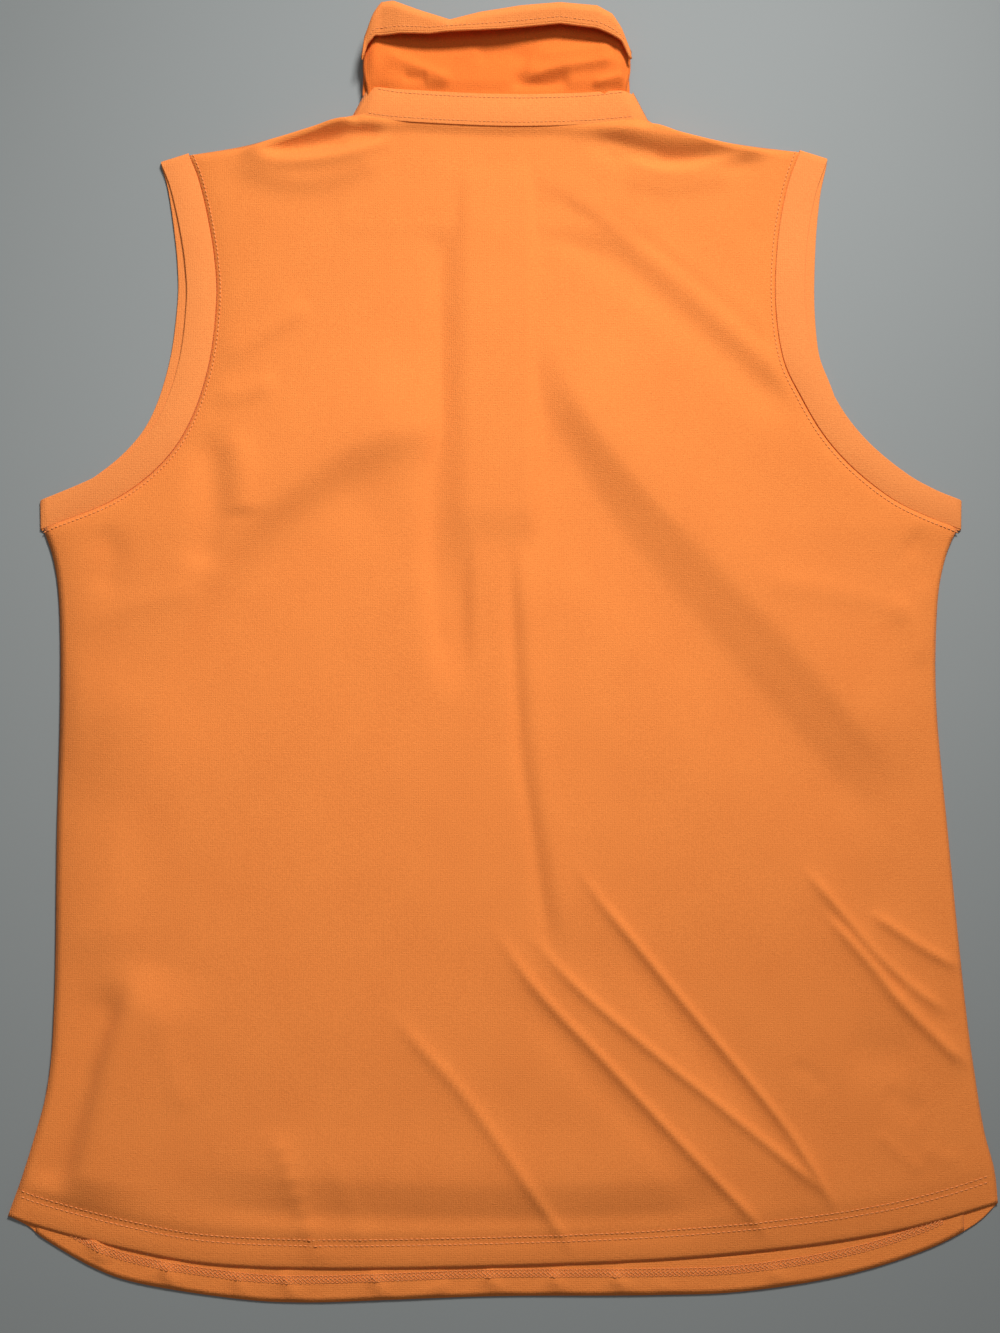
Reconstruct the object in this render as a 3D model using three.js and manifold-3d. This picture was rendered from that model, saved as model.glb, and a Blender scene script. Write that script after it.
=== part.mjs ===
// A sleeveless knit polo shirt laid face down and flat, its collar turned up. Millimetres.
// +X is the wearer's right, +Y runs from the hem to the collar, +Z is up, away from the table.
// The origin is on the table, under the middle of the shirt's outline.
import * as THREE from 'three';
import { mergeVertices } from 'three/addons/utils/BufferGeometryUtils.js';
import Module from 'manifold-3d';

const wasm = await Module();
wasm.setup();

// Driving sizes.

const hemWidth = 556;          // side to side at the hem corners
const hipWidth = 521;
const waistWidth = 511;
const chestWidth = 542;        // pit to pit, across the armhole bands
const acrossBack = 332;        // seam to seam at the narrowest place of the armholes
const shoulderWidth = 396;     // tip to tip, across the armhole bands
const neckWidth = 176;

const backLength = 669;        // neck seam to hem edge at the centre back
const frontDrop = 18;          // how far the front hem hangs below the back hem
const hemRise = 32;            // how far the hem corners lie above the back hem's middle
const frontNeckDrop = 66;      // neck seam at the centre front, below the centre back
const backNeckDip = 3;
const shoulderDrop = 25;       // neck point to shoulder tip
const armholeWaistDrop = 114;  // neck point to the narrowest place of the armholes
const underarmDrop = 246;      // neck point to the underarm seam
const underarmToWaist = 113;
const hipRise = 113;           // hem corner to hip line

const bandWidth = 17;          // folded armhole band
const hemDepth = 20;           // turned-up hem allowance
const seamAllowance = 6;
const standHeight = 20;        // collar stand above the neck seam
const leafHeight = 49;         // collar leaf from the stand to the top of its curl
const curlRadius = 5;          // inside of the leaf's curled edge
const curlLip = 9;             // leaf edge that hangs over past the top of the curl
const pointWidth = 62;         // collar leaf at the front points

const placketLength = 168;
const placketWidth = 30;       // opening cut in the front panel
const placketLap = 4;          // placket ply beyond each side of the opening
const buttonDiameter = 11.5;
const buttonThickness = 1.6;
const placketButtons = 3;      // plus one on the stand

const knit = 1.5;              // body panel
const hemPly = 1.2;
const bodySpace = 7.5;         // air between the front and back panels
const neckSpace = 4.4;         // air between the front and back of the stand
const ply = 0.7;               // placket and front stand
const collarPly = 0.8;
const interlining = 0.2;
const threadWidth = 0.6;
const threadHeight = 0.3;
const gap = 0.3;               // clearance between pieces that lie face to face
const buttonFloor = 0.8;       // table to the face of a button
const shankLength = 2.4;       // back of a button to the under ply of the placket

// Places worked out from them.

const overallLength = backLength + frontDrop + standHeight + leafHeight;
const topY = overallLength / 2;
const neckY = topY - standHeight - leafHeight;
const standTopY = neckY + standHeight;
const backHemY = neckY - backLength;
const frontHemY = backHemY - frontDrop;
const cornerY = backHemY + hemRise;
const frontNeckY = neckY - frontNeckDrop;
const placketBottomY = frontNeckY - placketLength;

const neckHalf = neckWidth / 2;
const chestHalf = chestWidth / 2;
const hemHalf = hemWidth / 2;

const frontTop = knit;
const backBottom = frontTop + bodySpace;
const backTop = backBottom + knit;
const underPlyBottom = buttonFloor + buttonThickness + shankLength + gap;
const underPlyTop = underPlyBottom + ply;
const liningBottom = underPlyBottom - gap - interlining;
const topPlyBottom = liningBottom - gap - ply;
const standBottom = underPlyTop + neckSpace;
const standLiningZ = standBottom + collarPly + gap;
const standOuterZ = standLiningZ + interlining + gap;
const standTop = standOuterZ + collarPly;

// Shape helpers.

const at = (x, y) => new THREE.Vector2(x, y);
const curve = (points, steps) => new THREE.SplineCurve(points).getPoints(steps);
const flip = (outline, side) => outline.map((p) => at(side * p.x, p.y));
const shift = (outline, dy) => outline.map((p) => at(p.x, p.y + dy));
const stitchLine = (path, distance) => ribbon(path, distance, distance + threadWidth);
const rectangle = (x0, x1, y0, y1) => [at(x0, y0), at(x1, y0), at(x1, y1), at(x0, y1)];

// The path moved sideways; a positive distance is to the left of its direction.
function offset(path, distance) {
  return path.map((p, i) => {
    const before = path[Math.max(i - 1, 0)];
    const after = path[Math.min(i + 1, path.length - 1)];
    const along = after.clone().sub(before).normalize();
    return at(p.x - along.y * distance, p.y + along.x * distance);
  });
}

function ribbon(path, fromDistance, toDistance) {
  return [...offset(path, fromDistance), ...offset(path, toDistance).reverse()];
}

function plate(outline, z0, z1, holes = []) {
  const shape = new THREE.Shape(outline);
  shape.holes = holes.map((hole) => new THREE.Path(hole));
  const geometry = new THREE.ExtrudeGeometry(shape, { depth: z1 - z0, bevelEnabled: false });
  return geometry.translate(0, 0, z0);
}

function toSolid(geometry) {
  const bare = geometry.clone();
  bare.deleteAttribute('normal');
  bare.deleteAttribute('uv');
  const merged = mergeVertices(bare, 1e-4);
  const vertProperties = new Float32Array(merged.attributes.position.array);
  const triVerts = new Uint32Array(merged.index.array);
  return new wasm.Manifold(new wasm.Mesh({ numProp: 3, vertProperties, triVerts }));
}

function toGeometry(solid) {
  const mesh = solid.getMesh();
  const geometry = new THREE.BufferGeometry();
  geometry.setAttribute('position', new THREE.BufferAttribute(mesh.vertProperties, 3));
  geometry.setIndex(new THREE.BufferAttribute(mesh.triVerts, 1));
  return geometry;
}

function join(...pieces) {
  return toGeometry(pieces.map(toSolid).reduce((a, b) => a.add(b)));
}

function cut(body, ...tools) {
  return toGeometry(tools.map(toSolid).reduce((a, b) => a.subtract(b), toSolid(body)));
}

// Materials and the shirt.

const paint = (color, roughness) => new THREE.MeshStandardMaterial({ color, roughness, metalness: 0 });
const shellKnit = paint(0xf0903f, 0.85);
const collarKnit = paint(0xf07a32, 0.85);
const bandKnit = paint(0xf3924c, 0.85);
const sewingThread = paint(0xd9742e, 0.6);
const whiteInterlining = paint(0xe9e6df, 0.9);
const labelSatin = paint(0xf2f0ea, 0.5);
const buttonResin = paint(0xe07a34, 0.3);

const shirt = new THREE.Group();

function piece(name, geometry, material) {
  const mesh = new THREE.Mesh(geometry, material);
  mesh.name = name;
  shirt.add(mesh);
}

// Outlines of the right half.

const shoulderSlope = shoulderDrop / (shoulderWidth / 2 - neckHalf);
const shoulderY = (x) => neckY - (x - neckHalf) * shoulderSlope;
const armholeTopX = shoulderWidth / 2 - bandWidth;

// The armhole seam, from the shoulder down to the side seam.
function armholeSeam() {
  const narrow = at(acrossBack / 2, neckY - armholeWaistDrop);
  const run = chestHalf - narrow.x;
  const fall = underarmDrop - armholeWaistDrop;
  const along = (dx, dy) => at(narrow.x + dx * run, narrow.y - dy * fall);
  const shoulder = at(armholeTopX, shoulderY(armholeTopX));
  return curve([shoulder, narrow, along(0.21, 0.57), along(0.6, 0.89), along(1, 1)], 28);
}

function sideSeam() {
  return curve([
    at(chestHalf, neckY - underarmDrop),
    at(waistWidth / 2, neckY - underarmDrop - underarmToWaist),
    at(hipWidth / 2, cornerY + hipRise),
    at(hemHalf, cornerY),
  ], 18);
}

// A hem edge from one side to the other, curved up to the corners.
function hemEdge(middleY, power, half, steps = 24) {
  return Array.from({ length: steps + 1 }, (_, i) => {
    const x = half - (2 * half * i) / steps;
    return at(x, middleY + (cornerY - middleY) * Math.abs(x / hemHalf) ** power);
  });
}

const backHemEdge = (half) => hemEdge(backHemY, 2.2, half);
const frontHemEdge = (half) => hemEdge(frontHemY, 4.5, half);

function backNeck(half) {
  return curve([at(-half, neckY), at(0, neckY - backNeckDip), at(half, neckY)], 10);
}

// The front neck seam of the right half, from the shoulder to the centre front.
function frontNeck() {
  return curve([
    at(neckHalf, neckY),
    at(neckHalf * 0.9, neckY - frontNeckDrop * 0.42),
    at(neckHalf * 0.56, neckY - frontNeckDrop * 0.82),
    at(0, frontNeckY),
  ], 12);
}

const seam = armholeSeam();
const side = sideSeam();
const rightEdge = [...seam, ...side.slice(1)];
const leftEdge = flip(rightEdge, -1).reverse();

// Body panels.

const backOutline = [...backNeck(neckHalf), ...rightEdge, ...backHemEdge(hemHalf).slice(1, -1), ...leftEdge];
piece('back_panel', plate(backOutline, backBottom, backTop), shellKnit);

const frontNeckline = [...flip(frontNeck(), -1), ...frontNeck().reverse().slice(1)];
const frontOutline = [...frontNeckline, ...rightEdge, ...frontHemEdge(hemHalf).slice(1, -1), ...leftEdge];
const slotHalf = placketWidth / 2 + gap;
const placketSlot = rectangle(-slotHalf, slotHalf, placketBottomY - gap, neckY);
const frontPanel = cut(plate(frontOutline, 0, frontTop), plate(placketSlot, -knit, 2 * knit));
piece('front_panel', frontPanel, shellKnit);

// Seam allowances inside the shirt.

const seamBottom = frontTop + gap;
const seamTop = backBottom - gap;
const shoulderStart = neckHalf + 2;   // clear of the collar stand's ends
const seamByShoulder = seam.filter((p) => p.y > shoulderY(armholeTopX) - 2 * seamAllowance);
const shoulderEnd = Math.min(...seamByShoulder.map((p) => p.x)) - gap;
const shoulderLine = [shoulderStart, shoulderEnd].map((x) => at(x, shoulderY(x)));

for (const [name, direction] of [['left', -1], ['right', 1]]) {
  const sideStrip = flip(ribbon(side, 0, -seamAllowance), direction);
  const shoulderStrip = flip(ribbon(shoulderLine, 0, -seamAllowance), direction);
  piece(`${name}_side_seam`, plate(sideStrip, seamBottom, seamTop), shellKnit);
  piece(`${name}_shoulder_seam`, plate(shoulderStrip, seamBottom, seamTop), shellKnit);
}

// Armhole bands: a folded loop, closed at the shoulder and the underarm.

const keepInside = (outline) => outline.map((p) => at(Math.min(p.x, chestHalf), p.y));
const bandOutline = (path) => keepInside(ribbon(path, gap, bandWidth));

for (const [name, direction] of [['left', -1], ['right', 1]]) {
  const whole = flip(bandOutline(seam), direction);
  const bandTop = flip(bandOutline(seam.slice(0, 2)), direction);
  const bandFoot = flip(bandOutline(seam.slice(-2)), direction);
  const band = join(
    plate(whole, 0, frontTop),
    plate(whole, backBottom, backTop),
    plate(bandTop, 0, backTop),
    plate(bandFoot, 0, backTop),
  );
  piece(`${name}_armhole_band`, band, bandKnit);
  const row = flip(stitchLine(seam, -3), direction);
  piece(`${name}_armhole_topstitch`, plate(row, backTop + gap, backTop + gap + threadHeight), sewingThread);
}

// Hems: the turned-up allowance inside each panel, and its rows of stitches.

const seamByHem = offset(side, -seamAllowance).filter((p) => p.y < cornerY + 2 * hemDepth);
const hemHalfInside = Math.min(...seamByHem.map((p) => p.x)) - 1;

function hemFold(edge) {
  return [...edge, ...shift(edge, hemDepth).reverse()];
}

piece('front_hem', plate(hemFold(frontHemEdge(hemHalfInside)), seamBottom, seamBottom + hemPly), shellKnit);
piece('back_hem', plate(hemFold(backHemEdge(hemHalfInside)), seamTop - hemPly, seamTop), shellKnit);

const needleGap = 4;
const foldMargin = 3;          // raw edge of the hem allowance above the upper needle row
const rowAbove = (edge, height) => [...shift(edge, height), ...shift(edge, height + threadWidth).reverse()];
const upperRow = hemDepth - foldMargin;
const backRows = [['lower', upperRow - needleGap], ['upper', upperRow]];
for (const [name, height] of backRows) {
  const row = rowAbove(backHemEdge(hemHalfInside), height);
  piece(`back_hem_stitch_${name}`, plate(row, backTop + gap, backTop + gap + threadHeight), sewingThread);
}

const frontStitchBottom = seamBottom + hemPly + gap;
const frontRow = rowAbove(frontHemEdge(hemHalfInside), upperRow - needleGap);
const frontCoverstitch = plate(frontRow, frontStitchBottom, frontStitchBottom + threadHeight);
piece('front_hem_coverstitch', frontCoverstitch, sewingThread);

// Placket.

const placketHalf = placketWidth / 2 + placketLap;
const placketTopY = frontNeckY - 2 * gap;
const placketOutline = rectangle(-placketHalf, placketHalf, placketBottomY, placketTopY);
const liningOutline = rectangle(-placketWidth / 2, placketWidth / 2, placketBottomY + 6, placketTopY - 2);

const standButtonY = frontNeckY + standHeight / 2;
const firstButtonY = frontNeckY - 28;
const lastButtonY = placketBottomY + 40;
const buttonPitch = (firstButtonY - lastButtonY) / (placketButtons - 1);
const placketButtonYs = Array.from({ length: placketButtons }, (_, i) => firstButtonY - i * buttonPitch);
const buttonYs = [standButtonY, ...placketButtonYs];

const holeLength = buttonDiameter + 1.5;
const holeWidth = 2.4;
const holeStitchHeight = 0.15;

// A buttonhole outline: a slit along Y with round ends, grown by a margin.
function buttonhole(y, margin) {
  const r = holeWidth / 2 + margin;
  const straight = (holeLength - holeWidth) / 2;
  const end = (cy, from) => Array.from({ length: 7 }, (_, i) => {
    const angle = from + (Math.PI * i) / 6;
    return at(r * Math.cos(angle), cy + r * Math.sin(angle));
  });
  return [...end(y + straight, 0), ...end(y - straight, Math.PI)];
}

const placketHoles = placketButtonYs.map((y) => buttonhole(y, 0));
piece('placket_top', plate(placketOutline, topPlyBottom, topPlyBottom + ply, placketHoles), shellKnit);
const placketLining = plate(liningOutline, liningBottom, liningBottom + interlining, placketHoles);
piece('placket_interlining', placketLining, whiteInterlining);
piece('placket_under', plate(placketOutline, underPlyBottom, underPlyTop), shellKnit);

const outsideStitchTop = topPlyBottom - gap;
const outsideStitchBottom = outsideStitchTop - threadHeight;
for (const [name, direction] of [['left', -1], ['right', 1]]) {
  const strip = rectangle(slotHalf + gap, placketHalf, placketBottomY, placketTopY - 3);
  piece(`${name}_placket_seam`, plate(flip(strip, direction), seamBottom, topPlyBottom - gap), shellKnit);
}

const boxHeight = 21;
const boxMargin = 3;           // box stitch to the edges of the placket

function stitchBox(inset) {
  const half = placketWidth / 2 - boxMargin - inset;
  const bottom = placketBottomY + boxMargin + inset;
  return rectangle(-half, half, bottom, placketBottomY + boxMargin + boxHeight - inset);
}

const boxStitch = plate(stitchBox(0), outsideStitchBottom, outsideStitchTop, [stitchBox(threadWidth)]);
piece('placket_box_stitch', boxStitch, sewingThread);

// Collar stand: the outer ply is a loop, lapped at the centre front.

const standPath = [at(neckHalf, standTopY), ...frontNeck(), at(-placketWidth / 2, frontNeckY)];
const frontStand = ribbon(standPath, 0, -standHeight);
const backStandOutline = (half) => [...backNeck(half), ...shift(backNeck(half), standHeight).reverse()];
const wall = 1.6;
const standEnd = rectangle(neckHalf - wall, neckHalf, neckY + 1, standTopY);
const standHole = plate(buttonhole(standButtonY, 0), 0, standTop);

const backStand = shift(backStandOutline(neckHalf), gap);
const standRight = cut(plate(frontStand, topPlyBottom, topPlyBottom + ply), standHole);
const collarBand = join(
  plate(backStand, standOuterZ, standTop),
  standRight,
  plate(flip(frontStand, -1), underPlyBottom, underPlyTop),
  plate(standEnd, topPlyBottom, standTop),
  plate(flip(standEnd, -1), underPlyBottom, standTop),
);
piece('collar_band_outer', collarBand, collarKnit);

const liningHalf = neckHalf - wall - gap;
const standLining = shift(backStandOutline(liningHalf), gap);
piece('collar_band_inner', plate(standLining, standBottom, standBottom + collarPly), collarKnit);
const standCore = plate(standLining, standLiningZ, standLiningZ + interlining);
piece('collar_band_interlining', standCore, whiteInterlining);

const bandRow = shift(rowAbove(backNeck(liningHalf), 2.4), gap);
const bandRowBottom = standTop + gap;
piece('collar_band_topstitch', plate(bandRow, bandRowBottom, bandRowBottom + threadHeight), sewingThread);

// Collar leaf: the back half stands up from the stand and curls over at its edge.

const leafHalf = neckHalf - 4;
const leafStartY = standTopY + 2 * gap;
const curlOuter = curlRadius + 2 * collarPly + interlining + 2 * gap;
const curlY = topY - curlOuter;
const curlZ = standTop + curlRadius;

// A layer of the leaf, hooked round the curl between two radii. Its profile is in Y and Z.
function leafLayer(inside, outside) {
  const bend = (radius) => Array.from({ length: 11 }, (_, i) => {
    const angle = -Math.PI / 2 + (Math.PI * i) / 10;
    return at(curlY + radius * Math.cos(angle), curlZ + radius * Math.sin(angle));
  });
  const profile = [
    at(leafStartY, curlZ - outside), ...bend(outside), at(curlY - curlLip, curlZ + outside),
    at(curlY - curlLip, curlZ + inside), ...bend(inside).reverse(), at(leafStartY, curlZ - inside),
  ];
  const [xAxis, yAxis, zAxis] = [[1, 0, 0], [0, 1, 0], [0, 0, 1]].map((axis) => new THREE.Vector3(...axis));
  const alongX = new THREE.Matrix4().makeBasis(yAxis, zAxis, xAxis);
  return plate(profile, -leafHalf, leafHalf).applyMatrix4(alongX);
}

const underOutside = curlRadius + collarPly;
const coreInside = underOutside + gap;
const upperInside = coreInside + interlining + gap;
piece('under_collar', leafLayer(curlRadius, underOutside), collarKnit);
piece('collar_interlining', leafLayer(coreInside, coreInside + interlining), whiteInterlining);
piece('upper_collar', leafLayer(upperInside, curlOuter), collarKnit);

const edgeRow = rectangle(-leafHalf + 4, leafHalf - 4, curlY - 4, curlY - 4 + threadWidth);
const edgeRowBottom = curlZ + curlOuter + gap;
piece('collar_edge_topstitch', plate(edgeRow, edgeRowBottom, edgeRowBottom + threadHeight), sewingThread);

// Collar points: the front halves of the leaf, lying on the table under the back half.

const pointTuck = 6;           // leaf that lies under the front stand
const pointPly = 2;
const pointRoot = offset(standPath.slice(0, -3), -(standHeight - pointTuck));
const pointTip = at(14, frontNeckY + standHeight + pointWidth);
const pointRootEnd = at(8, frontNeckY + standHeight - pointTuck + 1);
const pointSide = at(leafHalf, standTopY);
const pointTop = at(leafHalf - 6, topY - 14);
const pointOutline = [pointRootEnd, pointTip, pointTop, pointSide, ...pointRoot];
for (const [name, direction] of [['left', -1], ['right', 1]]) {
  piece(`collar_point_${name}`, plate(flip(pointOutline, direction), 0, pointPly), collarKnit);
}

// Buttons, their threads and the buttonhole stitches.

const buttonRadius = buttonDiameter / 2;
const dishRadius = buttonRadius - 1.6;
const dishDepth = 0.5;
const threadHoleRadius = 0.75;
const postRadius = threadHoleRadius - gap;
const holePitch = 2.6;
const holeCorners = [[-1, -1], [-1, 1], [1, -1], [1, 1]];
const holePlaces = holeCorners.map(([x, y]) => [x * holePitch / 2, y * holePitch / 2]);

function rod(radius, z0, z1, x = 0, y = 0, sides = 12) {
  const cylinder = new THREE.CylinderGeometry(radius, radius, z1 - z0, sides).rotateX(Math.PI / 2);
  return cylinder.translate(x, y, (z0 + z1) / 2);
}

function button() {
  const top = buttonThickness;
  const edge = 0.4;
  const profile = [
    [0, dishDepth], [dishRadius - 0.5, dishDepth], [dishRadius, 0.1], [dishRadius + 0.3, 0],
    [buttonRadius - edge, 0], [buttonRadius, edge],
    [buttonRadius, top - edge], [buttonRadius - edge, top], [0, top],
  ].map(([r, z]) => at(r, z));
  const disc = new THREE.LatheGeometry(profile, 32).rotateX(Math.PI / 2);
  const drills = holePlaces.map(([x, y]) => rod(threadHoleRadius, -1, top + 1, x, y));
  return cut(disc, ...drills);
}

// Two bars across the dish, four strands through the holes, and the wrapped shank behind.
function buttonThread() {
  const barTop = dishDepth - gap;
  const back = buttonThickness + gap;
  const bars = [-1, 1].map((s) => {
    const x = s * holePitch / 2;
    const long = holePitch / 2 + postRadius;
    return plate(rectangle(x - postRadius, x + postRadius, -long, long), barTop - 0.25, barTop);
  });
  const strands = holePlaces.map(([x, y]) => rod(postRadius, barTop - 0.1, back + 0.06, x, y));
  const bundle = rod(holePitch * 0.75, back, back + 0.12, 0, 0, 16);
  const shank = rod(0.7, back + 0.05, buttonThickness + shankLength);
  return join(...bars, ...strands, bundle, shank);
}

buttonYs.forEach((y, i) => {
  const number = i + 1;
  piece(`button_${number}`, button().translate(0, y, buttonFloor), buttonResin);
  piece(`button_thread_${number}`, buttonThread().translate(0, y, buttonFloor), sewingThread);
  const stitchBottom = outsideStitchTop - holeStitchHeight;
  const stitch = plate(buttonhole(y, 1), stitchBottom, outsideStitchTop, [buttonhole(y, 0)]);
  piece(`buttonhole_stitch_${number}`, stitch, sewingThread);
});

// Neck tape and blank labels inside the back.

const tapeWidth = 9;
const tapeTop = backBottom - gap;
const tape = [...backNeck(neckHalf - 12), ...shift(backNeck(neckHalf - 12), -tapeWidth).reverse()];
piece('back_neck_tape', plate(tape, tapeTop - 0.5, tapeTop), bandKnit);

const labelTopY = neckY - backNeckDip - tapeWidth - gap;
const labelTop = backBottom - gap;
const labelPly = 0.3;
const neckLabel = rectangle(-38, -4, labelTopY - 22, labelTopY);
const sizeTab = rectangle(6, 22, labelTopY - 14, labelTopY);
piece('neck_label', plate(neckLabel, labelTop - labelPly, labelTop), labelSatin);
piece('size_tab', plate(sizeTab, labelTop - labelPly, labelTop), labelSatin);

const careHeight = 30;
const careY = cornerY + hipRise;
const seamByCare = offset(side, -seamAllowance).filter((p) => Math.abs(p.y - careY) < 2 * careHeight);
const careEdge = gap - Math.min(...seamByCare.map((p) => p.x));
const careLabel = rectangle(careEdge, careEdge + 34, careY, careY + careHeight);
piece('care_label', plate(careLabel, frontTop + 3, frontTop + 3 + labelPly), labelSatin);

export default shirt;
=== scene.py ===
import math

import bmesh
import bpy
import numpy as np
from mathutils import Matrix, Vector


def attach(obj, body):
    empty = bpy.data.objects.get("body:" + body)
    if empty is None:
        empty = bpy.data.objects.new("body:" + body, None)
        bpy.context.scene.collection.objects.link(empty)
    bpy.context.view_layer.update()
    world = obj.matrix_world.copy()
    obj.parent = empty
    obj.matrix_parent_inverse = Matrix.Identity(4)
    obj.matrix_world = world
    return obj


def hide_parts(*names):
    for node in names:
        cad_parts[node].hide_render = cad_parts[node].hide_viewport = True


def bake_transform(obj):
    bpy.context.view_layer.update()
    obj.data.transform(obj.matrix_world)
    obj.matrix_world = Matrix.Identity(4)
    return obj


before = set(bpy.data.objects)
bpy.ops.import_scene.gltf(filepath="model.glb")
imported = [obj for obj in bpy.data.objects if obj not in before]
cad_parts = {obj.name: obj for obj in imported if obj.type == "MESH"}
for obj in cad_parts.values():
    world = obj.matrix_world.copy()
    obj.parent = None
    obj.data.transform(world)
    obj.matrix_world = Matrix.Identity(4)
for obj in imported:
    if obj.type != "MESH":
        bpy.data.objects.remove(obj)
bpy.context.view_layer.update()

# A sleeveless knit polo shirt lying face down. Sizes in the dictionaries are millimetres.
# -X is the wearer's left, +Y runs to the collar, +Z is up from the table.

mm = 0.001
plyThickness = 0.7


# Curves and surfaces as arrays

def smooth(t):
    t = np.clip(t, 0.0, 1.0)
    return t * t * (3 - 2 * t)


def sampleLine(points, count):  # smooth line through the points, evenly spaced
    pts = np.array(points, float)
    ext = np.vstack([2 * pts[0] - pts[1], pts, 2 * pts[-1] - pts[-2]])
    fine = []
    for i in range(len(pts) - 1):
        p0, p1, p2, p3 = ext[i:i + 4]
        t = np.linspace(0, 1, 16, endpoint=False)[:, None]
        fine.append(0.5 * (2 * p1 + (p2 - p0) * t + (2 * p0 - 5 * p1 + 4 * p2 - p3) * t ** 2
                           + (3 * p1 - p0 - 3 * p2 + p3) * t ** 3))
    fine = np.vstack(fine + [pts[-1:]])
    return alongLine(fine, np.linspace(0, 1, count))


def lineLength(line):
    return np.concatenate([[0], np.cumsum(np.linalg.norm(np.diff(line, axis=0), axis=1))])


def alongLine(line, t):  # points at shares of the line's length
    run = lineLength(line)
    return np.stack([np.interp(t * run[-1], run, line[:, k]) for k in range(line.shape[1])], axis=-1)


def nearLine(x, y, line):  # distance to the line, its side (+1 left), and the share along it
    best = np.full(x.shape, 1e9)
    side = np.zeros(x.shape)
    share = np.zeros(x.shape)
    run = lineLength(line)
    for i in range(len(line) - 1):
        a, d = line[i], line[i + 1] - line[i]
        length2 = float(d @ d) + 1e-9
        t = np.clip(((x - a[0]) * d[0] + (y - a[1]) * d[1]) / length2, 0, 1)
        dx, dy = x - a[0] - t * d[0], y - a[1] - t * d[1]
        dist = np.hypot(dx, dy)
        closer = dist < best
        best = np.where(closer, dist, best)
        side = np.where(closer, np.sign(d[0] * dy - d[1] * dx), side)
        share = np.where(closer, (run[i] + t * math.sqrt(length2)) / run[-1], share)
    return best, side, share


# The cloth's folds

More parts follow.
